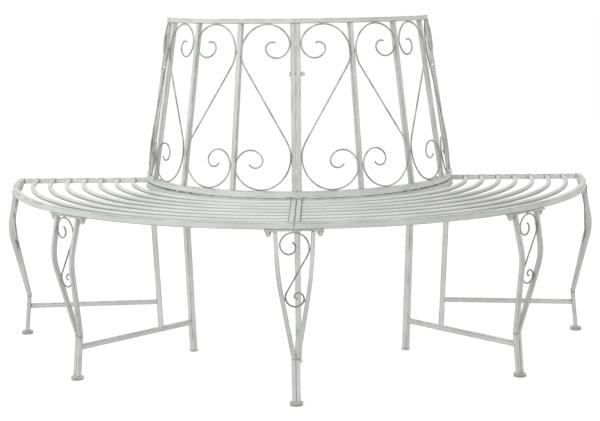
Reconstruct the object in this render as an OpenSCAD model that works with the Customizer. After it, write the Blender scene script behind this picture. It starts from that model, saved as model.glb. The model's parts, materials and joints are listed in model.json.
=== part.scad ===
// Half-round tree bench in painted steel tube. Two quarter seats and two quarter backs are bolted
// together in the middle and stand on five radial leg frames, which leave room for a tree trunk.
// The floor is z = 0 and the origin is the middle of the bench's footprint.
// "Azimuth" is the angle round the trunk, from the front (-Y) towards the right (+X).

/* [Seat] */
// Radius of the outer rim's outer face
rim_radius = 800; // [780:5:840]
// Radius of the inner rim's centreline
inner_rim_radius = 425; // [410:5:440]
// Height of the seat surface
seat_height = 435; // [420:5:460]
// Side of the square tube of both rims and of the inner legs
rim_tube = 15; // [14:0.5:16]
// Side of the square tube of the radial bars
bar_tube = 13; // [12:0.5:14]
// Diameter of the round slats
slat_diameter = 12; // [10:0.5:13]

/* [Back] */
// Height of the top of the back
back_height = 887; // [860:1:920]
// Radius of the top rail's centreline
top_rail_radius = 357; // [345:1:375]
// Side of the square tube of the top rail, the stiles and the back bars
upright_tube = 12; // [11:0.5:13]
// Diameter of the scroll rods
rod_diameter = 4; // [3:0.5:6]
// Height of the bolt holes through the stiles
stile_hole_height = 748; // [700:1:800]

/* [Legs] */
// Side of the square front leg tubes
leg_tube = 10; // [9:0.5:11]
// Azimuth of the end leg frames
end_leg_azimuth = 84; // [83.5:0.1:84]
// Radius at which a front leg meets its plate
leg_top_radius = 794; // [790:1:800]
// Radius of the knee's corner
knee_radius = 816; // [810:1:820]
// Radius of the ankle's corner
ankle_radius = 773; // [768:1:778]
// Radius of the foot
foot_radius = 783.5; // [778:0.5:788]
// Height of the knee
knee_height = 310; // [300:1:320]
// Height of the ankle
ankle_height = 112; // [105:1:120]
// Height of the stretcher's centreline
stretcher_height = 81; // [75:1:90]
// Radius of an inner leg's centreline at the floor
inner_foot_radius = 404; // [400:1:410]

/* [Fasteners] */
// Thickness of the plates under the rims
plate_thickness = 4; // [3:0.5:4]
// Distance between the two studs of a front plate
stud_spacing = 120; // [116:1:124]
// Thickness of the spacers between the seat and the back
spacer_thickness = 3; // [2:0.5:4]
// Azimuth of the bolt that ties each back panel to its seat
tie_azimuth = 62; // [58:1:63]

/* [Hidden] */
$fn = 48;

// Paint and hardware colours
paint = [0.83, 0.84, 0.82];
rod_paint = [0.70, 0.71, 0.69];
hardware = [0.80, 0.81, 0.79];
plastic = [0.42, 0.43, 0.42];

// Gap between the two halves, tube walls and corner rounding
seam_gap = 1;
wall = 1.2;
corner = 1.5;
slat_count = 7;
clip = 1000;

// Heights that follow from the seat and the back
rim_bottom = seat_height - rim_tube;
plate_bottom = rim_bottom - plate_thickness;
rail_bottom = seat_height + spacer_thickness;
rail_top = rail_bottom + rim_tube;
rail_middle = rail_bottom + rim_tube / 2;
top_rail_bottom = back_height - upright_tube;
top_rail_middle = back_height - upright_tube / 2;

// Radii that follow from the rims
outer_rim_radius = rim_radius - rim_tube / 2;
slat_pitch = (outer_rim_radius - inner_rim_radius) / (slat_count + 1);
bar_inner_radius = inner_rim_radius + rim_tube / 2;
bar_outer_radius = rim_radius - rim_tube;

// The back leans towards the trunk
lean_run = inner_rim_radius - top_rail_radius;
lean_rise = top_rail_middle - rail_middle;
stile_offset = (seam_gap + upright_tube) / 2;
stile_face = seam_gap / 2 + upright_tube;
stile_azimuth = asin(stile_offset / ((inner_rim_radius + top_rail_radius) / 2));
bay_count = 4;
bay_angle = (90 - 2 * stile_azimuth) / bay_count;

// Leg frames
leg_azimuths = [-end_leg_azimuth, -45, 0, 45, end_leg_azimuth];
knee_bend = 150;
ankle_bend = 40;
splay_top = 44;
splay_knee = 38;
splay_bend = 800;
pair_gap = 0.2;
disc_height = 8;
side_path = [
    [ankle_radius - leg_top_radius, plate_bottom],
    [ankle_radius - knee_radius, knee_height],
    [0, ankle_height],
    [ankle_radius - foot_radius, disc_height]
];
splay_path = [
    [splay_top, plate_bottom],
    [splay_knee, knee_height],
    [(leg_tube + pair_gap) / 2, ankle_height],
    [(leg_tube + pair_gap) / 2, disc_height]
];
leg_depth = 140;
inner_leg_top_radius = 421;
cap_thickness = 3;
plug_height = 12;
stretcher_tube = 12;
scroll_plane_radius = 803;

// A hair-thin sleeve joins the straight and curved pieces of one tube
sleeve_wall = 0.01;
sleeve_length = 0.4;

// Back scrolls: their plane lies in front of the bars, and they are tacked to the bars' front corners.
// The radii of a volute's quarter turns and the shift of its middle are shares of half the clear width.
scroll_stand_off = 8.5;
weld_gap = 0.1;
bay_top_curl = [1.17, 1, 0.59, 0.49, 0.27];
bay_low_curl = [1.1, 0.95, 0.59, 0.46, 0.25];
bay_shift = 0.065;
bay_turns = [510, 543];

// Leg scrolls: the same, between the two tubes of a leg
leg_scroll_gap = 2.8;
leg_top_curl = [1.08, 0.98, 0.69, 0.48, 0.42];
leg_low_curl = [0.66, 0.63, 0.44, 0.3, 0.17];
leg_top_shift = 0.03;
leg_low_middle = [0.3, 262];
leg_turns = [455, 510];

// The middle of the footprint: from the front knee's face to the rear faces
knee_trim = knee_bend * (1 / cos(knee_turn() / 2) - 1);
knee_reach = knee_radius - knee_trim + leg_tube / 2;
ring_centre_y = knee_reach / 2;

// Plates and fasteners
front_plate = [138, 18];
inner_plate = [66, 18];
inner_bolt_spacing = 40;
m8 = 8;
m6 = 6;
thread_clearance = 0.1;
thread_share = 0.7;
bolt_clearance = 1;
cap_nut_m8 = [13, 15];
cap_nut_m6 = [10, 12];
hex_head_m6 = [10, 4];
insert_diameter = 9;
insert_length = 11;
spacer_diameter = 15;
nut_m6 = [10, 5];

function unit(v) = v / norm(v);
function tenths(x) = round(10 * x) / 10;
function heading(v) = atan2(v.y, v.x);
function wrapped(a) = a > 180 ? a - 360 : a < -180 ? a + 360 : a;
function turn_at(path, i) = wrapped(heading(path[i + 1] - path[i]) - heading(path[i] - path[i - 1]));
function knee_turn() = abs(turn_at(side_path, 1));
function trim_at(path, bends, i) =
    i == 0 || i == len(path) - 1 ? 0 : bends[i - 1] * tan(abs(turn_at(path, i)) / 2);
function slat_radius(i) = outer_rim_radius - i * slat_pitch;
function bar_azimuth(i) = stile_azimuth + i * bay_angle;
function back_radius(z) = inner_rim_radius - lean_run * (z - rail_middle) / lean_rise;
function hex_radius(across_flats) = across_flats / 2 / cos(30);

// ---------- Placing ----------

module right() translate([0, ring_centre_y, 0]) children();
module left() translate([0, ring_centre_y, 0]) mirror([1, 0, 0]) children();
module at_leg(azimuth) translate([0, ring_centre_y, 0]) rotate([0, 0, azimuth]) children();
module at_every_leg() for (azimuth = leg_azimuths) at_leg(azimuth) children();

// Everything right of seam_x and in front of rear_y
module quarter(seam_x, rear_y) intersection() {
    children();
    translate([seam_x, -clip, -clip]) cube([clip, clip - rear_y, 2 * clip]);
}

module between(low, high) intersection() {
    children();
    translate([-clip, -clip, low]) cube([2 * clip, 2 * clip, high - low]);
}

// ---------- Tube sections ----------

module tube_outline(side) {
    square([side, side - 2 * corner], center = true);
    square([side - 2 * corner, side], center = true);
    for (x = [-1, 1], y = [-1, 1])
        translate([x, y] * (side / 2 - corner)) circle(corner);
}

module tube_section(side) difference() {
    tube_outline(side);
    square(side - 2 * wall, center = true);
}

module ring(radius, z) translate([0, 0, z]) rotate_extrude() translate([radius, 0]) children();

// A vertical hole at a radius and an azimuth
module hole_at(radius, azimuth, offset, diameter) rotate([0, 0, azimuth])
    translate([offset, -radius, 0]) cylinder(d = diameter, h = back_height);

// ---------- Seat, right-hand quarter ----------

module outer_rim() color(paint) difference() {
    quarter(seam_gap / 2, 0) ring(outer_rim_radius, seat_height - rim_tube / 2) tube_section(rim_tube);
    between(0, seat_height - rim_tube / 2)
        for (azimuth = leg_azimuths, offset = [-1, 1] * stud_spacing / 2)
            hole_at(outer_rim_radius, azimuth, offset, m8 + 2 * thread_clearance);
}

module inner_rim() color(paint) difference() {
    quarter(seam_gap / 2, 0) ring(inner_rim_radius, seat_height - rim_tube / 2) tube_section(rim_tube);
    back_bolt_holes(m6 + bolt_clearance);
    hole_at(inner_rim_radius, tie_azimuth, 0, m6 + bolt_clearance);
}

module back_bolt_holes(diameter)
    for (azimuth = leg_azimuths, offset = [-1, 1] * inner_bolt_spacing / 2)
        hole_at(inner_rim_radius, azimuth, offset, diameter);

// A straight tube along +X whose ends fit the two rims
module radial_bar() intersection() {
    translate([0, 0, seat_height - bar_tube / 2]) rotate([90, 0, 90])
        linear_extrude(rim_radius) tube_section(bar_tube);
    difference() {
        cylinder(r = bar_outer_radius, h = back_height, $fn = 360);
        cylinder(r = bar_inner_radius, h = back_height, $fn = 360);
    }
}

module rear_bar() color(paint) translate([0, -bar_tube / 2, 0]) radial_bar();
module centre_bar() color(paint) translate([(seam_gap + bar_tube) / 2, 0, 0])
    rotate([0, 0, -90]) radial_bar();

module slat(i) color(paint) quarter(seam_gap / 2 + bar_tube, bar_tube)
    ring(slat_radius(i), seat_height - slat_diameter / 2) difference() {
        circle(d = slat_diameter);
        circle(d = slat_diameter - 2 * wall);
    }

// ---------- Back, right-hand quarter ----------

module bottom_rail() color(paint) difference() {
    quarter(seam_gap / 2, 0) ring(inner_rim_radius, rail_middle) tube_section(rim_tube);
    between(0, rail_middle) back_bolt_holes(insert_diameter);
    hole_at(inner_rim_radius, tie_azimuth, 0, m6 + bolt_clearance);
}

module top_rail() color(paint) quarter(seam_gap / 2, 0)
    ring(top_rail_radius, top_rail_middle) tube_section(upright_tube);

// A leaning square tube between the two rails, in the radial plane of azimuth 0
module upright() between(rail_top, top_rail_bottom)
    translate([0, -inner_rim_radius, rail_middle]) rotate([-atan(lean_run / lean_rise), 0, 0])
        translate([0, 0, -rim_tube]) linear_extrude(back_height) tube_section(upright_tube);

module stile() difference() {
    upright();
    translate([-upright_tube, -back_radius(stile_hole_height), stile_hole_height]) rotate([0, 90, 0])
        cylinder(d = m6 + bolt_clearance, h = 2 * upright_tube);
}

module centre_stile() color(paint) translate([stile_offset, 0, 0]) stile();
module end_stile() color(paint) translate([0, -upright_tube / 2, 0]) rotate([0, 0, 90]) stile();
module back_bars() color(paint) for (i = [1:bay_count - 1]) rotate([0, 0, bar_azimuth(i)]) upright();

// ---------- Scrolls ----------

// A rod along an arc of the XZ plane, counterclockwise as seen from the front
module rod_arc(centre, radius, from, to) translate([centre.x, 0, centre.y]) rotate([90, 0, 0])
    rotate_extrude(angle = to - from, start = from) translate([radius, 0]) circle(d = rod_diameter);

function curl_radii(space, curl) = [for (share = curl) tenths(space * share)];

// A spiral that leaves the origin upwards, in quarter turns that tighten inwards
module volute(radii, last_turn) {
    last = len(radii) - 1;
    function middle(i) = i == 0
        ? [-radii[0], 0]
        : middle(i - 1) + (radii[i - 1] - radii[i]) * [cos(90 * i), sin(90 * i)];
    for (i = [0:last]) rod_arc(middle(i), radii[i], 90 * i, i == last ? last_turn : 90 * (i + 1));
}

// An S-shaped rod: a volute above another, joined by a straight piece on the inner tangent of their
// first quarters. Each is placed by the middle of its second quarter, which touches the rail or plate.
module scroll(top_middle, low_middle, top_radii, low_radii, turns) {
    span = top_middle - low_middle;
    reach = top_radii[0] + low_radii[0];
    low_step = low_radii[0] - low_radii[1];
    top_step = top_radii[0] - top_radii[1];
    straight = tenths(sqrt(norm(span) ^ 2 - reach ^ 2) - top_step - low_step);
    tilt = atan2(span.x, span.y) + asin(reach / norm(span));
    translate([low_middle.x, 0, low_middle.y]) rotate([0, tilt, 0]) translate([-low_radii[0], 0, low_step]) {
        cylinder(d = rod_diameter, h = straight);
        translate([0, 0, straight]) volute(top_radii, turns[0]);
        rotate([0, 180, 0]) volute(low_radii, turns[1]);
    }
}

// The scroll of a bay of the back, in a flat plane on the front corners of its two uprights
module bay_scroll(bay) {
    half = bay_angle / 2;
    lean = atan(lean_run * cos(half) / lean_rise);
    corner_out = (upright_tube / 2 - corner) * (cos(half) + sin(half));
    corner_side = (upright_tube / 2 - corner) * (cos(half) - sin(half));
    rod_reach = rod_diameter / 2 + weld_gap;
    edge = corner_side + sqrt((corner + rod_reach) ^ 2 - (scroll_stand_off - corner_out) ^ 2);
    top_space = top_rail_radius * sin(half) - edge;
    low_space = inner_rim_radius * sin(half) - edge;
    top_radii = curl_radii(top_space, bay_top_curl);
    low_radii = curl_radii(low_space, bay_low_curl);
    plane_rise = scroll_stand_off * sin(lean);
    top_z = (top_rail_bottom - rod_reach - rail_middle - plane_rise) / cos(lean) - top_radii[1];
    low_z = (rail_top + rod_reach - rail_middle - plane_rise) / cos(lean) + low_radii[1];
    rotate([0, 0, bar_azimuth(bay + 0.5)])
        translate([0, -inner_rim_radius * cos(half), rail_middle]) rotate([-lean, 0, 0])
            translate([0, -scroll_stand_off, 0]) mirror([bay % 2, 0, 0]) scroll(
                [-bay_shift * top_space, top_z], [bay_shift * low_space, low_z],
                top_radii, low_radii, bay_turns
            );
}

module back_scrolls() color(rod_paint) for (bay = [0:bay_count - 1]) bay_scroll(bay);

// ---------- Leg frames, outwards along -Y ----------

// A flat strip along a path, with an arc at each inner corner
module strip(path, bends, width) {
    last = len(path) - 1;
    overrun = 20;
    for (i = [0:last - 1]) {
        along = unit(path[i + 1] - path[i]);
        start = path[i] + along * (i == 0 ? -overrun : trim_at(path, bends, i));
        end = path[i + 1] - along * (i == last - 1 ? -overrun : trim_at(path, bends, i + 1));
        translate(start) rotate(heading(along)) translate([0, -width / 2]) square([norm(end - start), width]);
        for (joint = [start, end]) translate(joint) rotate(heading(along))
            square([sleeve_length, width + 2 * sleeve_wall], center = true);
    }
    for (i = [1:last - 1]) strip_bend(path, i, bends[i - 1], trim_at(path, bends, i), width);
}

module strip_bend(path, i, bend, trim, width) {
    turn = turn_at(path, i);
    into = unit(path[i] - path[i - 1]);
    away = sign(turn) * [-into.y, into.x];
    centre = path[i] - into * trim + away * bend;
    from = heading(-away);
    reach = 2 * bend;
    translate(centre) intersection() {
        difference() {
            circle(bend + width / 2, $fn = 360);
            circle(bend - width / 2, $fn = 360);
        }
        polygon([
            [0, 0],
            reach * [cos(from), sin(from)],
            reach * [cos(from + turn), sin(from + turn)]
        ]);
    }
}

// The front leg's side view, as a wall along X
module side_wall(side, length) translate([0, -ankle_radius, 0]) rotate([90, 0, 90]) linear_extrude(length)
    strip(side_path, [knee_bend, ankle_bend], side);

// One front leg tube is its side view cut by its splayed front view
module splayed_tube(side) intersection() {
    between(disc_height, plate_bottom) side_wall(side, splay_top + leg_tube);
    translate([0, leg_depth / 2 - ankle_radius, 0]) rotate([90, 0, 0]) linear_extrude(leg_depth)
        strip(splay_path, [splay_bend, ankle_bend], side);
}

module hollow_splayed_tube() difference() {
    splayed_tube(leg_tube);
    splayed_tube(leg_tube - 2 * wall);
}

module front_leg(azimuth) color(paint) at_leg(azimuth) {
    hollow_splayed_tube();
    mirror([1, 0, 0]) hollow_splayed_tube();
}

// The leaning axis of an inner leg
module on_inner_leg() translate([0, -inner_foot_radius, 0])
    rotate([atan((inner_leg_top_radius - inner_foot_radius) / plate_bottom), 0, 0]) children();

module inner_leg_solid(side) on_inner_leg() translate([0, 0, -rim_tube / 2]) linear_extrude(seat_height)
    square(side, center = true);

module inner_leg(azimuth) color(paint) at_leg(azimuth) between(cap_thickness, plate_bottom)
    on_inner_leg() translate([0, 0, -rim_tube]) linear_extrude(seat_height + rim_tube) tube_section(rim_tube);

module inner_leg_caps() color(plastic) at_every_leg() {
    translate([0, -inner_foot_radius, cap_thickness / 2])
        cube([rim_tube + 1, rim_tube + 1, cap_thickness], center = true);
    between(cap_thickness, cap_thickness + plug_height)
        inner_leg_solid(rim_tube - 2 * wall - thread_clearance);
}

module stretchers() color(paint) at_every_leg() difference() {
    translate([0, -inner_foot_radius, stretcher_height]) rotate([90, 0, 0])
        linear_extrude(ankle_radius - inner_foot_radius) tube_section(stretcher_tube);
    inner_leg_solid(rim_tube);
    translate([-leg_tube, 0, 0]) side_wall(leg_tube, 2 * leg_tube);
}

module leg_scrolls() color(rod_paint) at_every_leg() {
    space = splay_top - (leg_tube + rod_diameter) / 2 - leg_scroll_gap;
    top_radii = curl_radii(space, leg_top_curl);
    low_radii = curl_radii(space, leg_low_curl);
    top_middle = [-leg_top_shift * space, plate_bottom - rod_diameter / 2 - weld_gap - top_radii[1]];
    translate([0, -scroll_plane_radius, 0])
        scroll(top_middle, leg_low_middle, top_radii, low_radii, leg_turns);
}

// ---------- Plates and feet ----------

module plate(size, radius, spacing, diameter) difference() {
    translate([-size.x / 2, -radius - size.y / 2, plate_bottom]) cube([size.x, size.y, plate_thickness]);
    for (offset = [-1, 1] * spacing / 2) hole_at(radius, 0, offset, diameter);
}

module front_plates() color(paint) at_every_leg()
    plate(front_plate, outer_rim_radius, stud_spacing, m8 + bolt_clearance);
module inner_plates() color(paint) at_every_leg()
    plate(inner_plate, inner_rim_radius, inner_bolt_spacing, m6 + bolt_clearance);

module at_foot() at_every_leg() translate([0, -foot_radius, 0]) children();

// A steel disc with a groove under it
module foot_discs() color(paint) at_foot() rotate_extrude() polygon([
    [0, 4], [14, 4], [14, 5], [15.5, 5], [16, 5.5], [16, 7.5], [15.5, 8], [0, 8]
]);

// A glide with a rounded lower edge
module foot_glides() color(plastic) at_foot() rotate_extrude() polygon([
    [0, 0], [14.5, 0], [15.5, 1], [15.5, 3.5], [15, 4], [0, 4]
]);

// ---------- Fasteners ----------

module at_studs() at_every_leg() for (offset = [-1, 1] * stud_spacing / 2)
    translate([offset, -outer_rim_radius, plate_bottom]) children();
module at_plate_bolts() at_every_leg() for (offset = [-1, 1] * inner_bolt_spacing / 2)
    translate([offset, -inner_rim_radius, plate_bottom]) children();
module at_ties() for (azimuth = [-1, 1] * tie_azimuth) at_leg(azimuth) translate([0, -inner_rim_radius, 0])
    children();

// A hexagon with its chamfered corners, standing on z = 0
module hexagon(size) intersection() {
    cylinder(r = hex_radius(size.x), h = size.y, $fn = 6);
    rotate_extrude() polygon([
        [0, 0],
        [hex_radius(size.x), 0],
        [hex_radius(size.x), size.y - 1],
        [hex_radius(size.x) - 1, size.y],
        [0, size.y]
    ]);
}

// A domed nut that opens at z = 0 and stands upwards
module cap_nut(size, thread) difference() {
    union() {
        hexagon([size.x, size.y * 0.45]);
        cylinder(d = size.x * 0.92, h = size.y * 0.55);
        translate([0, 0, size.y * 0.54]) sphere(d = size.x * 0.92);
    }
    translate([0, 0, -1]) cylinder(d = thread + 2 * thread_clearance, h = size.y * 0.8 + 1);
}

module rim_studs() color(hardware) at_studs() translate([0, 0, -cap_nut_m8.y * thread_share])
    cylinder(d = m8, h = cap_nut_m8.y * thread_share + plate_thickness + rim_tube - wall);
module cap_nuts() color(hardware) at_studs() mirror([0, 0, 1]) cap_nut(cap_nut_m8, m8);

module plate_bolts() color(hardware) at_plate_bolts() {
    mirror([0, 0, 1]) hexagon(hex_head_m6);
    cylinder(d = m6, h = rail_bottom + insert_length - plate_bottom);
}
module rail_inserts() color(hardware) at_plate_bolts() translate([0, 0, rail_bottom - plate_bottom])
    difference() {
        cylinder(d = insert_diameter, h = insert_length);
        translate([0, 0, -1]) cylinder(d = m6 + thread_clearance, h = insert_length + 2);
    }

module spacer() translate([0, 0, seat_height]) difference() {
    cylinder(d = spacer_diameter, h = spacer_thickness);
    translate([0, 0, -1]) cylinder(d = m6 + bolt_clearance, h = spacer_thickness + 2);
}
module rail_spacers() color(hardware) {
    at_plate_bolts() translate([0, 0, -plate_bottom]) spacer();
    at_ties() spacer();
}

module tie_bolts() color(hardware) at_ties() {
    translate([0, 0, rail_top]) hexagon(hex_head_m6);
    translate([0, 0, rim_bottom - nut_m6.y - 2]) cylinder(d = m6, h = rail_top - rim_bottom + nut_m6.y + 2);
}
module tie_nuts() color(hardware) at_ties() translate([0, 0, rim_bottom]) mirror([0, 0, 1]) difference() {
    hexagon(nut_m6);
    translate([0, 0, -1]) cylinder(d = m6 + thread_clearance, h = nut_m6.y + 2);
}

// The bolt that joins the two centre stiles, along X
module at_centre_bolt() translate([0, ring_centre_y - back_radius(stile_hole_height), stile_hole_height])
    children();
module centre_bolt() color(hardware) at_centre_bolt() {
    translate([-stile_face, 0, 0]) rotate([0, -90, 0]) hexagon(hex_head_m6);
    translate([-stile_face, 0, 0]) rotate([0, 90, 0])
        cylinder(d = m6, h = 2 * stile_face + cap_nut_m6.y * thread_share);
}
module centre_nut() color(hardware) at_centre_bolt() translate([stile_face, 0, 0]) rotate([0, 90, 0])
    cap_nut(cap_nut_m6, m6);

// ---------- Nodes ----------

module left_outer_rim() left() outer_rim();
module right_outer_rim() right() outer_rim();
module left_inner_rim() left() inner_rim();
module right_inner_rim() right() inner_rim();
module left_rear_bar() left() rear_bar();
module right_rear_bar() right() rear_bar();
module left_centre_bar() left() centre_bar();
module right_centre_bar() right() centre_bar();
module left_slat_1() left() slat(1);
module left_slat_2() left() slat(2);
module left_slat_3() left() slat(3);
module left_slat_4() left() slat(4);
module left_slat_5() left() slat(5);
module left_slat_6() left() slat(6);
module left_slat_7() left() slat(7);
module right_slat_1() right() slat(1);
module right_slat_2() right() slat(2);
module right_slat_3() right() slat(3);
module right_slat_4() right() slat(4);
module right_slat_5() right() slat(5);
module right_slat_6() right() slat(6);
module right_slat_7() right() slat(7);
module left_bottom_rail() left() bottom_rail();
module right_bottom_rail() right() bottom_rail();
module left_top_rail() left() top_rail();
module right_top_rail() right() top_rail();
module left_end_stile() left() end_stile();
module right_end_stile() right() end_stile();
module left_centre_stile() left() centre_stile();
module right_centre_stile() right() centre_stile();
module left_back_bars() left() back_bars();
module right_back_bars() right() back_bars();
module left_back_scrolls() left() back_scrolls();
module right_back_scrolls() right() back_scrolls();
module front_leg_left_end() front_leg(-end_leg_azimuth);
module front_leg_left() front_leg(-45);
module front_leg_centre() front_leg(0);
module front_leg_right() front_leg(45);
module front_leg_right_end() front_leg(end_leg_azimuth);
module inner_leg_left_end() inner_leg(-end_leg_azimuth);
module inner_leg_left() inner_leg(-45);
module inner_leg_centre() inner_leg(0);
module inner_leg_right() inner_leg(45);
module inner_leg_right_end() inner_leg(end_leg_azimuth);

left_outer_rim();
right_outer_rim();
left_inner_rim();
right_inner_rim();
left_rear_bar();
right_rear_bar();
left_centre_bar();
right_centre_bar();
left_slat_1();
left_slat_2();
left_slat_3();
left_slat_4();
left_slat_5();
left_slat_6();
left_slat_7();
right_slat_1();
right_slat_2();
right_slat_3();
right_slat_4();
right_slat_5();
right_slat_6();
right_slat_7();
left_bottom_rail();
right_bottom_rail();
left_top_rail();
right_top_rail();
left_end_stile();
right_end_stile();
left_centre_stile();
right_centre_stile();
left_back_bars();
right_back_bars();
left_back_scrolls();
right_back_scrolls();
front_leg_left_end();
front_leg_left();
front_leg_centre();
front_leg_right();
front_leg_right_end();
inner_leg_left_end();
inner_leg_left();
inner_leg_centre();
inner_leg_right();
inner_leg_right_end();
stretchers();
leg_scrolls();
front_plates();
inner_plates();
foot_discs();
foot_glides();
inner_leg_caps();
rim_studs();
cap_nuts();
plate_bolts();
rail_inserts();
rail_spacers();
centre_bolt();
centre_nut();
tie_bolts();
tie_nuts();
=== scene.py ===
"""A half-round tree bench in distressed off-white paint: weld detail, materials, stage, light and camera."""
import json
import math

import bmesh
import bpy
from mathutils import Matrix, Vector, noise
from mathutils.bvhtree import BVHTree

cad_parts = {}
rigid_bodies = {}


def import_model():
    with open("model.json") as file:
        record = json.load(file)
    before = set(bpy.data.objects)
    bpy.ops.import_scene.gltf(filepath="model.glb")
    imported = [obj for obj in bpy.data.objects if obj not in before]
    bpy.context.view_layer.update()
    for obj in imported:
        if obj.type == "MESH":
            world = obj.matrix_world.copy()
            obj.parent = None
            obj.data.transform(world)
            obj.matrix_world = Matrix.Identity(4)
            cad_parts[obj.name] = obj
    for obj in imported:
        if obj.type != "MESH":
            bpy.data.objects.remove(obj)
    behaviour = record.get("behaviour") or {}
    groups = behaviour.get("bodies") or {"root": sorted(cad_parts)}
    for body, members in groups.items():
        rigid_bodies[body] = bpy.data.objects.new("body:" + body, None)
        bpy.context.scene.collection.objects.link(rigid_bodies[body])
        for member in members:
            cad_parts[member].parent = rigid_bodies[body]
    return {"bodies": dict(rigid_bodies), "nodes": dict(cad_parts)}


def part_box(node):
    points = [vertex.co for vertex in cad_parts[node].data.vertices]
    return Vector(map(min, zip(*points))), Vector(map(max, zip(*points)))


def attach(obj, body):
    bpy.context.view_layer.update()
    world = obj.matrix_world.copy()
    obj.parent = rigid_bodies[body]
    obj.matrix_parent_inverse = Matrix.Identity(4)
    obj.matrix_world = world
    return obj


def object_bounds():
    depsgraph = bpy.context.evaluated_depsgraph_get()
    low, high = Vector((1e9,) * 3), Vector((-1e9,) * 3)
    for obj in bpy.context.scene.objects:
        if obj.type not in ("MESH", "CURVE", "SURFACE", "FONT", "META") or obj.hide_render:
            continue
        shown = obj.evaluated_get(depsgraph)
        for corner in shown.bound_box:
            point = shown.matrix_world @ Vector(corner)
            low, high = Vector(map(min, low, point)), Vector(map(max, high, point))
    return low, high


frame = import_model()
cad_low, cad_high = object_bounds()
BODY = next(iter(frame["bodies"]))

# The trunk's axis stands over the bench's rear faces.
TRUNK = Vector((0.0, cad_high.y, 0.0))
LEG_AZIMUTHS = [math.radians(a) for a in (-84, -45, 0, 45, 84)]
LEG_NAMES = ["left_end", "left", "centre", "right", "right_end"]
SIDES = [("left", -1), ("right", 1)]
BAYS = 4
SLATS = 7
MM = 0.001
UP = Vector((0.0, 0.0, 1.0))

# The ankles' height as a share of the legs' height
ANKLE_SHARE = 0.264
# The radius that a weld bead takes round a square tube's corners
BEAD_CORNER = 1.5 * MM
# The scrolls' tacks: their radius, and how near and how far apart two parts' meetings are
TACK_RADIUS = 1.9 * MM
BACK_REACH = 1.6 * MM
LEG_REACH = 1.8 * MM
MEETINGS_APART = 30 * MM
# The seam between paired leg tubes: half its width, its rise above the tubes, its depth, and its steps
SEAM_HALF = 0.75 * MM
SEAM_RISE = 0.18 * MM
SEAM_DEPTH = 0.5 * MM
SEAM_STEPS = 24
SEAM_SIDES = 6

# The stage: the floor's half side, the lights' places and powers, and the camera by the trunk's foot
FLOOR_HALF = 30.0
FLOOR_GLOW = 0.58
KEY_LIGHT = {"place": (-2.4, -2.4, 3.6), "target": (0, 0, 0.4), "size": 3.0, "power": 95.0}
TOP_LIGHT = {"place": (0.6, 1.2, 4.2), "target": (0, 0, 0.2), "size": 4.0, "power": 22.0}
CAMERA_LENS = 82.4
CAMERA_PLACE = Vector((0.0650, -3.8825, 0.9605))
CAMERA_YAW, CAMERA_PITCH, CAMERA_ROLL = (math.radians(turn) for turn in (0.95, -9.15, 0.66))


# ---------- Shader graphs ----------


class Graph:
    """A material's node tree, with short calls for the nodes that the paints share."""

    def __init__(self, name):
        self.material = bpy.data.materials.new(name)
        self.material.use_nodes = True
        self.tree = self.material.node_tree
        self.tree.nodes.clear()

    def add(self, kind, inputs=(), **settings):
        made = self.tree.nodes.new("ShaderNode" + kind)
        for key, value in settings.items():
            setattr(made, key, value)
        for key, value in dict(inputs).items():
            if isinstance(value, bpy.types.NodeSocket):
                self.tree.links.new(value, made.inputs[key])
            else:
                made.inputs[key].default_value = value
        return made

    def math(self, operation, *values, clamp=False):
        return self.add("Math", enumerate(values), operation=operation, use_clamp=clamp).outputs[0]

    def vector(self, operation, *values):
        made = self.add("VectorMath", enumerate(values), operation=operation)
        return made.outputs["Value" if operation in ("LENGTH", "DOT_PRODUCT") else "Vector"]

    def combine(self, x, y, z):
        return self.add("CombineXYZ", {"X": x, "Y": y, "Z": z}).outputs[0]

    def separate(self, vector):
        return self.add("SeparateXYZ", {"Vector": vector}).outputs

    def noise(self, vector, scale, detail=3.0, roughness=0.55):
        wanted = {"Vector": vector, "Scale": scale, "Detail": detail, "Roughness": roughness}
        return self.add("TexNoise", wanted).outputs[0]

    def stretched(self, along, run, across, *shape):
        """Noise drawn out along a tube: run and across are its cycles for each metre."""
        return self.noise(self.vector("MULTIPLY", along, (run, across, across)), 1.0, *shape)

    def scaled(self, value, amount):
        return self.math("MULTIPLY", value, amount)

    def sum(self, a, b):
        return self.math("ADD", a, b)

    def shaded(self, colour, shade):
        return self.mix(1.0, colour, rgb(shade, shade, shade), "MULTIPLY")

    def step(self, value, low, high):
        """0 below low, 1 above high, and smooth between them."""
        wanted = {"Value": value, "From Min": low, "From Max": high}
        return self.add("MapRange", wanted, interpolation_type="SMOOTHSTEP").outputs[0]

    def mix(self, factor, a, b, blend="MIX"):
        made = self.add("Mix", {0: factor, 6: a, 7: b}, data_type="RGBA", blend_type=blend)
        return made.outputs[2]

    def surface(self, colour, roughness, height, distance, metallic=0.0, specular=0.5):
        bump = self.add("Bump", {"Strength": 1.0, "Distance": distance, "Height": height})
        shader = self.add("BsdfPrincipled", {
            "Base Color": colour,
            "Roughness": roughness,
            "Metallic": metallic,
            "Specular IOR Level": specular,
            "Normal": bump.outputs[0],
        })
        output = self.add("OutputMaterial")
        self.tree.links.new(shader.outputs[0], output.inputs[0])
        return self.material


def rgb(red, green, blue):
    return (red, green, blue, 1.0)


CREAM = rgb(0.395, 0.405, 0.393)
CHALK = rgb(0.450, 0.458, 0.448)
GREEN_GREY = rgb(0.305, 0.316, 0.298)
RUBBED = rgb(0.110, 0.107, 0.096)
# Dark grey for soot, scuffs and bared metal, and for painted shade on faces that look down.
SOOT_AND_SHADE_GREY = rgb(0.140, 0.140, 0.132)
ROD_PALE = rgb(0.345, 0.352, 0.340)
ROD_DARK = rgb(0.165, 0.165, 0.158)
PLASTIC_DIM = rgb(0.29, 0.30, 0.29)
PLASTIC_PALE = rgb(0.36, 0.37, 0.355)


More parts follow.
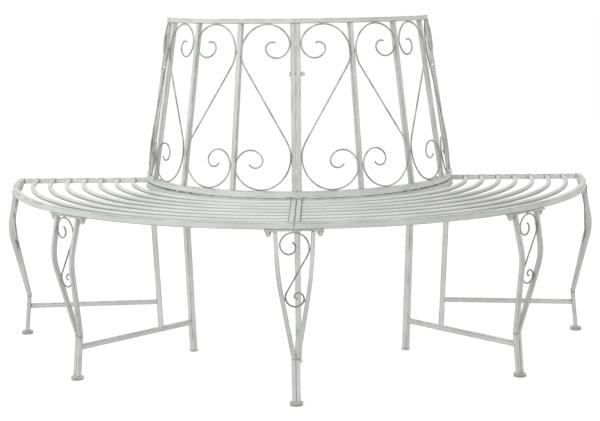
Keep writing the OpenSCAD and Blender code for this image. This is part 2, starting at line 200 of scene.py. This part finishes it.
def round_the_trunk(graph):
    """The place and normal of a surface point in the trunk's own directions: outwards, round and up."""
    place = graph.add("TexCoord").outputs["Object"]
    arm = graph.vector("SUBTRACT", place, tuple(TRUNK))
    flat = graph.vector("MULTIPLY", arm, (1.0, 1.0, 0.0))
    radius = graph.vector("LENGTH", flat)
    outwards = graph.vector("NORMALIZE", flat)
    around = graph.vector("CROSS_PRODUCT", (0.0, 0.0, 1.0), outwards)
    x, y, z = graph.separate(arm)
    turn = graph.math("ARCTAN2", x, graph.math("MULTIPLY", y, -1.0))
    normal = graph.add("NewGeometry").outputs["Normal"]
    parts = [graph.math("ABSOLUTE", graph.vector("DOT_PRODUCT", normal, axis))
             for axis in (outwards, around, (0.0, 0.0, 1.0))]
    return place, radius, turn, z, parts


def stroke_vector(graph, run, place, radius, turn, height):
    """Coordinates whose first axis runs along the tubes of one family, in metres."""
    if run == "ring":
        return graph.combine(graph.math("MULTIPLY", turn, 0.6), radius, height)
    if run == "spoke":
        return graph.combine(radius, graph.math("MULTIPLY", turn, radius), height)
    x, y, z = graph.separate(place)
    return graph.combine(z, x, y)


def corner_line(graph, parts, radius):
    """1 along a tube's long edges: its rounded corners by their normal, its sharp ones by a bevel."""
    a, b, c = parts
    middle = graph.math("MAXIMUM", graph.math("MINIMUM", a, b),
                        graph.math("MINIMUM", graph.math("MAXIMUM", a, b), c))
    rounded = graph.step(middle, 0.32, 0.60)
    bevel = graph.add("Bevel", {"Radius": radius}, samples=6).outputs[0]
    true_normal = graph.add("NewGeometry").outputs["Normal"]
    sharp = graph.step(graph.vector("DOT_PRODUCT", bevel, true_normal), 0.999, 0.960)
    return graph.math("MAXIMUM", rounded, sharp)


def shade_downward_faces(graph, colour, high, low, amount):
    """Darkens the faces that look down, from one upward tilt to another: painted shade, as if less light
    reached their undersides.
    """
    tilt = graph.separate(graph.add("NewGeometry").outputs["Normal"])[2]
    # Painted shade: the colour is mixed towards dark grey on faces that look down.
    return graph.mix(graph.math("MULTIPLY", graph.step(tilt, high, low), amount), colour, SOOT_AND_SHADE_GREY)


def tube_paint(name, run, shade=1.0):
    """Brushed off-white paint over dark metal: chalky patches, strokes along the tube, rubbed edges; shade
    makes it lighter or darker as painted light for the member, and faces that look down get painted shade.
    """
    graph = Graph(name)
    place, radius, turn, height, parts = round_the_trunk(graph)
    along = stroke_vector(graph, run, place, radius, turn, height)
    strokes = graph.stretched(along, 9.0, 420.0, 4.0, 0.6)
    patches = graph.noise(place, 9.0, 3.0)
    blotches = graph.noise(place, 42.0, 4.0, 0.65)
    grain = graph.noise(place, 1400.0, 2.0)
    edge = corner_line(graph, parts, 3.0 * MM)
    gaps = graph.step(graph.stretched(along, 16.0, 60.0, 3.0), 0.38, 0.56)
    nicks = graph.step(graph.stretched(along, 95.0, 260.0, 3.0), 0.34, 0.52)
    gaps = graph.math("MULTIPLY", gaps, graph.sum(graph.scaled(nicks, 0.5), 0.5))
    worn = graph.math("MULTIPLY", edge, graph.scaled(gaps, 0.75))
    scuffs = graph.step(graph.stretched(along, 26.0, 210.0, 5.0, 0.7), 0.665, 0.76)
    colour = graph.mix(graph.step(patches, 0.35, 0.65), CREAM, CHALK)
    colour = graph.mix(graph.scaled(graph.step(blotches, 0.50, 0.75), 0.30), colour, GREEN_GREY)
    colour = graph.mix(graph.scaled(graph.step(strokes, 0.52, 0.74), 0.42), colour, GREEN_GREY)
    colour = graph.mix(graph.scaled(scuffs, 0.42), colour, SOOT_AND_SHADE_GREY)
    # Painted light and shade: shade makes this member's paint lighter or darker for how light falls on it.
    colour = graph.shaded(colour, shade)
    # Painted shade: faces that look down are darkened a little.
    colour = shade_downward_faces(graph, colour, 0.10, -0.70, 0.30)
    colour = graph.mix(worn, colour, RUBBED)
    roughness = graph.sum(graph.sum(graph.scaled(strokes, 0.22), graph.scaled(worn, -0.08)), 0.44)
    relief = graph.sum(graph.scaled(strokes, 0.6), graph.scaled(grain, 0.25))
    relief = graph.math("SUBTRACT", relief, graph.scaled(worn, 0.5))
    return graph.surface(colour, roughness, relief, 0.12 * MM)


def rod_paint(name, shade):
    """The same paint on thin rod, where more of the dark metal shows."""
    graph = Graph(name)
    place = graph.add("TexCoord").outputs["Object"]
    clouds = graph.noise(place, 30.0, 4.0, 0.65)
    flecks = graph.noise(place, 380.0, 4.0, 0.7)
    grain = graph.noise(place, 1400.0, 2.0)
    colour = graph.mix(graph.step(clouds, 0.36, 0.66), ROD_PALE, ROD_DARK)
    colour = graph.mix(graph.scaled(graph.step(flecks, 0.52, 0.72), 0.5), colour, RUBBED)
    colour = graph.shaded(colour, shade)
    roughness = graph.sum(graph.scaled(clouds, 0.25), 0.38)
    relief = graph.sum(flecks, graph.scaled(grain, 0.3))
    return graph.surface(colour, roughness, relief, 0.08 * MM)


def slat_paint(name):
    """The same paint on the round slats, brushed round the seat, made lighter as painted light and darkened
    on their lower halves as painted shade, which draws the dark lines between the slats.
    """
    graph = Graph(name)
    place, radius, turn, height, _ = round_the_trunk(graph)
    along = stroke_vector(graph, "ring", place, radius, turn, height)
    strokes = graph.stretched(along, 9.0, 480.0, 4.0, 0.6)
    patches = graph.noise(place, 9.0, 3.0)
    grain = graph.noise(place, 1400.0, 2.0)
    scuffs = graph.step(graph.stretched(along, 22.0, 160.0, 5.0, 0.7), 0.63, 0.76)
    colour = graph.mix(graph.step(patches, 0.35, 0.65), CREAM, CHALK)
    colour = graph.mix(graph.scaled(graph.step(strokes, 0.50, 0.72), 0.42), colour, GREEN_GREY)
    colour = graph.mix(graph.scaled(scuffs, 0.5), colour, SOOT_AND_SHADE_GREY)
    # Painted light: the slats' paint is made lighter for how light falls on the seat.
    colour = graph.shaded(colour, 1.20)
    # Painted shade: the lower half of each slat is darkened strongly, giving the dark line between slats.
    colour = shade_downward_faces(graph, colour, 0.42, -0.12, 0.62)
    roughness = graph.sum(graph.scaled(strokes, 0.22), 0.44)
    relief = graph.sum(strokes, graph.scaled(grain, 0.3))
    return graph.surface(colour, roughness, relief, 0.08 * MM)


def weld_paint(name, shade=1.0):
    """Paint that pooled and chipped on the welds, so more metal shows."""
    graph = Graph(name)
    place = graph.add("TexCoord").outputs["Object"]
    lumps = graph.noise(place, 260.0, 4.0, 0.65)
    grain = graph.noise(place, 1500.0, 2.0)
    colour = graph.mix(graph.step(lumps, 0.42, 0.60), CREAM, SOOT_AND_SHADE_GREY)
    colour = graph.shaded(colour, shade)
    roughness = graph.sum(graph.scaled(lumps, 0.3), 0.40)
    relief = graph.sum(lumps, graph.scaled(grain, 0.3))
    return graph.surface(colour, roughness, relief, 0.2 * MM)


def hardware_paint(name):
    """Paint on the nuts and bolts, chipped to dull zinc on their corners."""
    graph = Graph(name)
    place = graph.add("TexCoord").outputs["Object"]
    normal = graph.add("NewGeometry").outputs["Normal"]
    clouds = graph.noise(place, 120.0, 4.0, 0.65)
    grain = graph.noise(place, 1500.0, 2.0)
    bevel = graph.add("Bevel", {"Radius": 0.9 * MM}, samples=6).outputs[0]
    edge = graph.step(graph.vector("DOT_PRODUCT", bevel, normal), 0.985, 0.90)
    chipped = graph.math("MULTIPLY", edge, graph.step(clouds, 0.38, 0.58))
    colour = graph.mix(graph.step(clouds, 0.35, 0.65), CREAM, CHALK)
    colour = graph.mix(graph.scaled(chipped, 0.7), colour, SOOT_AND_SHADE_GREY)
    roughness = graph.math("SUBTRACT", 0.52, graph.scaled(chipped, 0.12))
    relief = graph.sum(clouds, graph.scaled(grain, 0.4))
    return graph.surface(colour, roughness, relief, 0.1 * MM)


def glide_plastic(name):
    """Moulded pale grey plastic with a fine texture and scattered scuffs."""
    graph = Graph(name)
    place = graph.add("TexCoord").outputs["Object"]
    clouds = graph.noise(place, 90.0, 3.0)
    grain = graph.noise(place, 2200.0, 2.0)
    colour = graph.mix(graph.step(clouds, 0.35, 0.65), PLASTIC_DIM, PLASTIC_PALE)
    scuff = graph.step(graph.noise(place, 420.0, 5.0, 0.7), 0.60, 0.74)
    colour = graph.mix(graph.scaled(scuff, 0.35), colour, SOOT_AND_SHADE_GREY)
    roughness = graph.sum(graph.scaled(clouds, 0.15), 0.5)
    return graph.surface(colour, roughness, grain, 0.05 * MM)


# ---------- Painting the CAD nodes ----------

# Painted light and shade: each member's copy of the tube paint is made lighter or darker by its factor, for
# how light falls on that member.
rim_paint = tube_paint("paint_rim", "ring", 1.10)
top_rail_paint = tube_paint("paint_top_rail", "ring", 1.18)
bottom_rail_paint = tube_paint("paint_bottom_rail", "ring", 1.32)
spoke_paint = tube_paint("paint_spoke", "spoke", 1.08)
rear_bar_paint = tube_paint("paint_rear_bar", "spoke", 1.32)
back_upright_paint = tube_paint("paint_back_upright", "upright", 1.13)
leg_paint = tube_paint("paint_leg", "upright", 1.05)
inner_leg_paint = tube_paint("paint_inner_leg", "upright", 1.24)
slat_finish = slat_paint("paint_slat")
back_rod_finish = rod_paint("paint_back_rod", 1.12)
leg_rod_finish = rod_paint("paint_leg_rod", 0.80)
weld_finish = weld_paint("paint_weld")
seat_weld_finish = weld_paint("paint_seat_weld", 0.30)
# The seam paint is drawn dark as painted shade of the groove between paired tubes, as well as pooled paint.
seam_finish = weld_paint("paint_seam", 0.35)
hardware_finish = hardware_paint("paint_hardware")
plastic_finish = glide_plastic("plastic_glide")

FINISHES = [
    ("slat", slat_finish),
    ("rim", rim_paint),
    ("top_rail", top_rail_paint),
    ("bottom_rail", bottom_rail_paint),
    ("back_scrolls", back_rod_finish),
    ("scrolls", leg_rod_finish),
    ("stile", back_upright_paint),
    ("back_bars", back_upright_paint),
    ("inner_leg", inner_leg_paint),
    ("leg", leg_paint),
    ("rear_bar", rear_bar_paint),
    ("bar", spoke_paint),
    ("stretchers", spoke_paint),
    ("plates", spoke_paint),
    ("discs", spoke_paint),
]
HARDWARE = ["rim_studs", "cap_nuts", "plate_bolts", "rail_inserts", "rail_spacers",
            "centre_bolt", "centre_nut", "tie_bolts", "tie_nuts"]
PLASTIC = ["foot_glides", "inner_leg_caps"]


def finish_of(name):
    if name in HARDWARE:
        return hardware_finish
    if name in PLASTIC:
        return plastic_finish
    return next(finish for word, finish in FINISHES if word in name)


for name, piece in frame["nodes"].items():
    for place in piece.material_slots:
        place.material = finish_of(name)


# ---------- Welds ----------


def middle_of(name, axis):
    low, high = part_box(name)
    return (low[axis] + high[axis]) / 2


def outwards_at(azimuth):
    return Vector((math.sin(azimuth), -math.cos(azimuth), 0.0))


def lump(place, seed):
    """A smooth random number from -1 to 1 that differs between welds."""
    return noise.noise(place * 420.0 + Vector((seed, 2.0 * seed, 0.0)))


def add_bead(mesh, path, thick, tall, up, seed):
    """A closed, uneven bead of weld metal along path: thick across it, tall along up."""
    sides = 6
    rings = []
    for index, point in enumerate(path):
        along = (path[(index + 1) % len(path)] - path[index - 1]).normalized()
        across = along.cross(up).normalized()
        swell = 1.0 + 0.35 * lump(point, seed)
        ring = []
        for side in range(sides):
            angle = 2 * math.pi * side / sides
            reach = across * math.cos(angle) * thick * swell + up * math.sin(angle) * tall * swell
            spot = point + reach
            spot.y = min(spot.y, TRUNK.y)
            ring.append(mesh.verts.new(spot))
        rings.append(ring)
    for index, ring in enumerate(rings):
        following = rings[(index + 1) % len(rings)]
        for side in range(sides):
            beside = (side + 1) % sides
            mesh.faces.new((ring[side], following[side], following[beside], ring[beside]))


def add_tack(mesh, place, radius, stretch, seed):
    """A lumpy drop of weld metal, drawn out along the vector stretch."""
    made = bmesh.ops.create_icosphere(mesh, subdivisions=2, radius=radius)
    along = stretch.normalized()
    for vert in made["verts"]:
        out = vert.co * (1.0 + 0.30 * lump(place + vert.co, seed))
        out += along * out.dot(along) * (stretch.length / radius)
        vert.co = place + out
        vert.co.y = min(vert.co.y, TRUNK.y)


def rounded_square(centre, side_axis, up, size, corner=BEAD_CORNER, points=3):
    """A closed path round a square tube: size is its half width and depth."""
    other = up.cross(side_axis).normalized()
    path = []
    for turn, (sx, sy) in enumerate([(1, 1), (-1, 1), (-1, -1), (1, -1)]):
        middle = centre + side_axis * sx * (size[0] - corner) + other * sy * (size[1] - corner)
        for step in range(points):
            angle = math.pi / 2 * (turn + step / (points - 1))
            path.append(middle + (side_axis * math.cos(angle) + other * math.sin(angle)) * corner)
        ahead = [(-1, 0), (0, -1), (1, 0), (0, 1)][turn]
        span = 2 * ((size[0] - corner) if ahead[0] else (size[1] - corner))
        last = path[-1]
        for step in (1, 2, 3):
            path.append(last + (side_axis * ahead[0] + other * ahead[1]) * span * step / 4)
    return path


def circle_path(centre, axis, radius, points=14):
    first = axis.orthogonal().normalized()
    second = axis.cross(first).normalized()
    turns = [2 * math.pi * step / points for step in range(points)]
    return [centre + (first * math.cos(t) + second * math.sin(t)) * radius for t in turns]


def finish_piece(name, mesh, finish):
    data = bpy.data.meshes.new(name)
    bmesh.ops.recalc_face_normals(mesh, faces=mesh.faces)
    for face in mesh.faces:
        face.smooth = True
    mesh.to_mesh(data)
    mesh.free()
    piece = bpy.data.objects.new(name, data)
    bpy.context.scene.collection.objects.link(piece)
    piece.data.materials.append(finish)
    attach(piece, BODY)


def contacts(name, other, reach, apart):
    """Where the CAD node name comes closest to the node other: one point for each meeting."""
    tree_mesh = bmesh.new()
    tree_mesh.from_mesh(frame["nodes"][other].data)
    tree = BVHTree.FromBMesh(tree_mesh)
    near = []
    for vert in frame["nodes"][name].data.vertices:
        spot, _, _, distance = tree.find_nearest(vert.co, reach)
        if spot is not None:
            near.append((distance, (vert.co + spot) / 2))
    tree_mesh.free()
    near.sort(key=lambda found: found[0])
    chosen = []
    for distance, spot in near:
        if all((spot - kept).length > apart for kept in chosen):
            chosen.append(spot)
    return chosen


slat_half = (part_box("right_slat_1")[1][2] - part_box("right_slat_1")[0][2]) / 2
seat_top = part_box("right_outer_rim")[1][2]
rim_half = (seat_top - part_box("right_outer_rim")[0][2]) / 2
bar_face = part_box("right_centre_bar")[1][0]
rear_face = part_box("right_rear_bar")[0][1]
rail_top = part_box("right_bottom_rail")[1][2]
rail_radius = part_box("right_bottom_rail")[1][0] - rim_half
top_rail_low, top_rail_high = (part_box("right_top_rail")[end] for end in (0, 1))
upright_half = (top_rail_high[2] - top_rail_low[2]) / 2
top_radius = top_rail_high[0] - upright_half
plate_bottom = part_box("front_plates")[0][2]
disc_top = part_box("foot_discs")[1][2]


def back_radius(height):
    """The radius of the uprights' axes at a height: they lean from the lower rail to the upper one."""
    low = rail_top - rim_half
    share = (height - low) / (top_rail_high[2] - upright_half - low)
    return rail_radius + (top_radius - rail_radius) * share


def weld_seat():
    """Beads at both ends of every slat and of every straight bar."""
    mesh = bmesh.new()
    for side, sign in SIDES:
        for number in range(1, SLATS + 1):
            radius = abs(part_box(f"{side}_slat_{number}")[0 if sign < 0 else 1][0]) - slat_half
            height = seat_top - slat_half
            front = TRUNK + Vector((sign * bar_face, -math.sqrt(radius**2 - bar_face**2), height))
            inset = TRUNK.y - rear_face
            rear = TRUNK + Vector((sign * math.sqrt(radius**2 - inset**2), -inset, height))
            for place, axis in ((front, Vector((sign, 0, 0))), (rear, Vector((0, -1, 0)))):
                path = circle_path(place, axis, slat_half * 1.02)
                add_bead(mesh, path, 1.1 * MM, 1.3 * MM, axis, number + 10 * sign)
        bar_half = (TRUNK.y - rear_face) / 2
        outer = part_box("right_rear_bar")[1][0]
        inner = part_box("right_rear_bar")[0][0]
        for radius in (inner + 0.3 * MM, outer - 0.3 * MM):
            for axis, across in ((Vector((sign, 0, 0)), Vector((0, -bar_half, 0))),
                                 (Vector((0, -1, 0)), Vector((sign * (bar_face - bar_half), 0, 0)))):
                centre = TRUNK + axis * radius + across + Vector((0, 0, seat_top - bar_half))
                path = rounded_square(centre, axis.cross(UP), axis, (bar_half, bar_half))
                add_bead(mesh, path, 0.8 * MM, 1.2 * MM, axis, radius * 50)
    finish_piece("seat_welds", mesh, seat_weld_finish)


def upright_places():
    """The azimuth of every upright of the back, and its shift from that azimuth's own line."""
    stile_middle = middle_of("right_centre_stile", 0)
    stile_turn = math.asin(stile_middle / ((rail_radius + top_radius) / 2))
    bay = (math.pi / 2 - 2 * stile_turn) / BAYS
    for _, sign in SIDES:
        yield 0.0, Vector((sign * stile_middle, 0, 0))
        yield sign * math.pi / 2, Vector((0, -upright_half, 0))
        for number in range(1, BAYS):
            yield sign * (stile_turn + number * bay), Vector()


def weld_back():
    """Beads at both ends of every upright."""
    mesh = bmesh.new()
    for azimuth, shift in upright_places():
        for height in (rail_top, top_rail_low[2]):
            centre = TRUNK + outwards_at(azimuth) * back_radius(height) + shift + UP * height
            path = rounded_square(centre, UP.cross(outwards_at(azimuth)), UP, (upright_half, upright_half))
            add_bead(mesh, path, 0.9 * MM, 1.0 * MM, UP, azimuth * 7 + height)
    finish_piece("back_welds", mesh, weld_finish)


def weld_scrolls():
    """Tacks where the scrolls meet their rails, uprights, plates and leg tubes."""
    mesh = bmesh.new()
    seed = 0
    for side, _ in SIDES:
        for other in ("top_rail", "bottom_rail", "centre_stile", "end_stile", "back_bars"):
            stretch = Vector((1.2 * MM, 0, 0)) if "rail" in other else UP * 1.6 * MM
            for place in contacts(f"{side}_back_scrolls", f"{side}_{other}", BACK_REACH, MEETINGS_APART):
                seed += 1
                add_tack(mesh, place, TACK_RADIUS, stretch, seed)
    for other in ["front_plates"] + [f"front_leg_{name}" for name in LEG_NAMES]:
        for place in contacts("leg_scrolls", other, LEG_REACH, MEETINGS_APART):
            seed += 1
            add_tack(mesh, place, TACK_RADIUS, UP * 1.2 * MM, seed)
    finish_piece("scroll_welds", mesh, weld_finish)


def leg_places():
    for name, azimuth in zip(LEG_NAMES, LEG_AZIMUTHS):
        yield name, azimuth, outwards_at(azimuth), UP.cross(outwards_at(azimuth))


def section_at(name, azimuth, height, slack=0.6 * MM):
    """The extent of a leg node at a height, as distances outwards and sideways from the trunk."""
    out = outwards_at(azimuth)
    side = UP.cross(out)
    reach = []
    mesh = frame["nodes"][name].data
    for edge in mesh.edges:
        a, b = (mesh.vertices[index].co for index in edge.vertices)
        if min(a.z, b.z) - slack <= height <= max(a.z, b.z) + slack:
            share = 0.5 if abs(a.z - b.z) < 1e-7 else min(max((height - a.z) / (b.z - a.z), 0.0), 1.0)
            arm = a.lerp(b, share) - TRUNK
            reach.append((arm.dot(out), arm.dot(side)))
    return reach


def weld_legs():
    """Beads where leg tubes meet plates and discs, and inner legs meet plates."""
    mesh = bmesh.new()
    for name, azimuth, out, side in leg_places():
        for node in (f"front_leg_{name}", f"inner_leg_{name}"):
            for height in (plate_bottom - 0.4 * MM, disc_top + 0.6 * MM):
                if node.startswith("inner") and height < plate_bottom / 2:
                    continue
                reach = section_at(node, azimuth, height)
                together = node.startswith("inner") or height < plate_bottom / 2
                left, right = ([r for r in reach if r[1] * hand > 0] for hand in (-1, 1))
                for group in [reach] if together else [left, right]:
                    outs = [r[0] for r in group]
                    sides = [r[1] for r in group]
                    centre = TRUNK + out * (min(outs) + max(outs)) / 2 + side * (min(sides) + max(sides)) / 2
                    size = ((max(sides) - min(sides)) / 2, (max(outs) - min(outs)) / 2)
                    path = rounded_square(centre + UP * height, side, UP, size)
                    add_bead(mesh, path, 0.9 * MM, 1.1 * MM, UP, azimuth * 11 + height * 40)
    finish_piece("leg_welds", mesh, weld_finish)


def weld_ankles():
    """The smooth band round both tubes at each ankle, and the weld in the crotch above it."""
    bands = bmesh.new()
    drops = bmesh.new()
    ankle = ANKLE_SHARE * plate_bottom
    for name, azimuth, out, side in leg_places():
        reach = section_at(f"front_leg_{name}", azimuth, ankle)
        outs = [r[0] for r in reach]
        sides = [r[1] for r in reach]
        centre = TRUNK + out * (min(outs) + max(outs)) / 2 + UP * ankle
        size = ((max(sides) - min(sides)) / 2, (max(outs) - min(outs)) / 2)
        path = rounded_square(centre, side, UP, size)
        add_bead(bands, path, 0.55 * MM, 3.2 * MM, UP, azimuth * 5)
        for face in (min(outs), max(outs)):
            place = TRUNK + out * face + UP * (ankle + 5.5 * MM)
            add_tack(drops, place, 1.5 * MM, UP * 2.2 * MM, azimuth * 3 + face)
    finish_piece("ankle_bands", bands, leg_paint)
    finish_piece("ankle_welds", drops, weld_finish)


def add_seam(mesh, foot, top, out, side, seed):
    """A thin uneven dark line that fills the groove between two tubes: pooled paint, and painted shade of the
    groove.
    """
    rows = []
    for step in range(SEAM_STEPS + 1):
        share = step / SEAM_STEPS
        middle = foot.lerp(top, share)
        half = SEAM_HALF * (1.0 + 0.35 * lump(middle * 0.4, seed))
        rise = SEAM_RISE if 0 < step < SEAM_STEPS else 0.0
        turns = [math.pi * k / SEAM_SIDES for k in range(SEAM_SIDES + 1)]
        rows.append([mesh.verts.new(middle + side * half * math.cos(turn) + out * rise * math.sin(turn))
                     for turn in turns] + [mesh.verts.new(middle - out * SEAM_DEPTH)])
    for low, high in zip(rows, rows[1:]):
        for k in range(len(low)):
            after = (k + 1) % len(low)
            mesh.faces.new([low[k], low[after], high[after], high[k]])
    mesh.faces.new(rows[0][::-1])
    mesh.faces.new(rows[-1])


def weld_seams():
    """The dark line where the paired tubes of a front leg touch, between the disc and the ankle."""
    mesh = bmesh.new()
    ends = (disc_top + 2.5 * MM, ANKLE_SHARE * plate_bottom - 4.5 * MM)
    for name, azimuth, out, side in leg_places():
        faces = []
        for height in ends:
            outs = [r[0] for r in section_at(f"front_leg_{name}", azimuth, height)]
            faces.append((min(outs), max(outs)))
        for face, facing in ((0, -1), (1, 1)):
            foot, top = (TRUNK + out * reach[face] + UP * height for reach, height in zip(faces, ends))
            add_seam(mesh, foot, top, out * facing, side, azimuth * 7 + face)
    finish_piece("leg_seams", mesh, seam_finish)


weld_seat()
weld_back()
weld_scrolls()
weld_legs()
weld_ankles()
weld_seams()


# ---------- Stage, light and camera ----------


def make_floor():
    mesh = bpy.data.meshes.new("floor")
    corners = [(x * FLOOR_HALF, y * FLOOR_HALF, 0) for x, y in ((-1, -1), (1, -1), (1, 1), (-1, 1))]
    mesh.from_pydata(corners, [], [(0, 1, 2, 3)])
    floor = bpy.data.objects.new("floor", mesh)
    bpy.context.scene.collection.objects.link(floor)
    graph = Graph("floor_pale")
    place = graph.add("TexCoord").outputs["Object"]
    tone = graph.noise(place, 3.0, 2.0)
    colour = graph.mix(tone, rgb(0.415, 0.415, 0.415), rgb(0.425, 0.425, 0.425))
    pale = graph.surface(colour, 0.9, tone, 0.0, specular=0.0)
    shader = next(node for node in graph.tree.nodes if node.type == "BSDF_PRINCIPLED")
    shader.inputs["Emission Color"].default_value = rgb(1.0, 1.0, 1.0)
    shader.inputs["Emission Strength"].default_value = FLOOR_GLOW
    floor.data.materials.append(pale)


def make_area_light(name, place, target, size, power):
    light = bpy.data.lights.new(name, "AREA")
    light.shape = "SQUARE"
    light.size = size
    light.energy = power
    lamp = bpy.data.objects.new(name, light)
    bpy.context.scene.collection.objects.link(lamp)
    lamp.location = place
    lamp.rotation_mode = "QUATERNION"
    lamp.rotation_quaternion = (Vector(target) - Vector(place)).to_track_quat("-Z", "Y")


def make_world():
    world = bpy.data.worlds.new("studio")
    bpy.context.scene.world = world
    world.use_nodes = True
    background = world.node_tree.nodes["Background"]
    background.inputs["Color"].default_value = rgb(1.0, 1.0, 1.0)
    background.inputs["Strength"].default_value = 1.0


def make_camera():
    """The camera stands before the bench at a standing adult's chest height, a little right of the middle."""
    data = bpy.data.cameras.new("camera")
    data.sensor_width = 36.0
    data.lens = CAMERA_LENS
    camera = bpy.data.objects.new("camera", data)
    bpy.context.scene.collection.objects.link(camera)
    camera.location = TRUNK + CAMERA_PLACE
    camera.rotation_mode = "QUATERNION"
    camera.rotation_quaternion = (
        Matrix.Rotation(CAMERA_YAW, 4, "Z")
        @ Matrix.Rotation(CAMERA_PITCH, 4, "X")
        @ Matrix.Rotation(CAMERA_ROLL, 4, "Y")
        @ Matrix.Rotation(math.radians(90), 4, "X")
    ).to_quaternion()
    bpy.context.scene.camera = camera


make_floor()
make_world()
make_area_light("key", **KEY_LIGHT)
make_area_light("top", **TOP_LIGHT)
make_camera()
bpy.context.scene.view_settings.view_transform = "Standard"
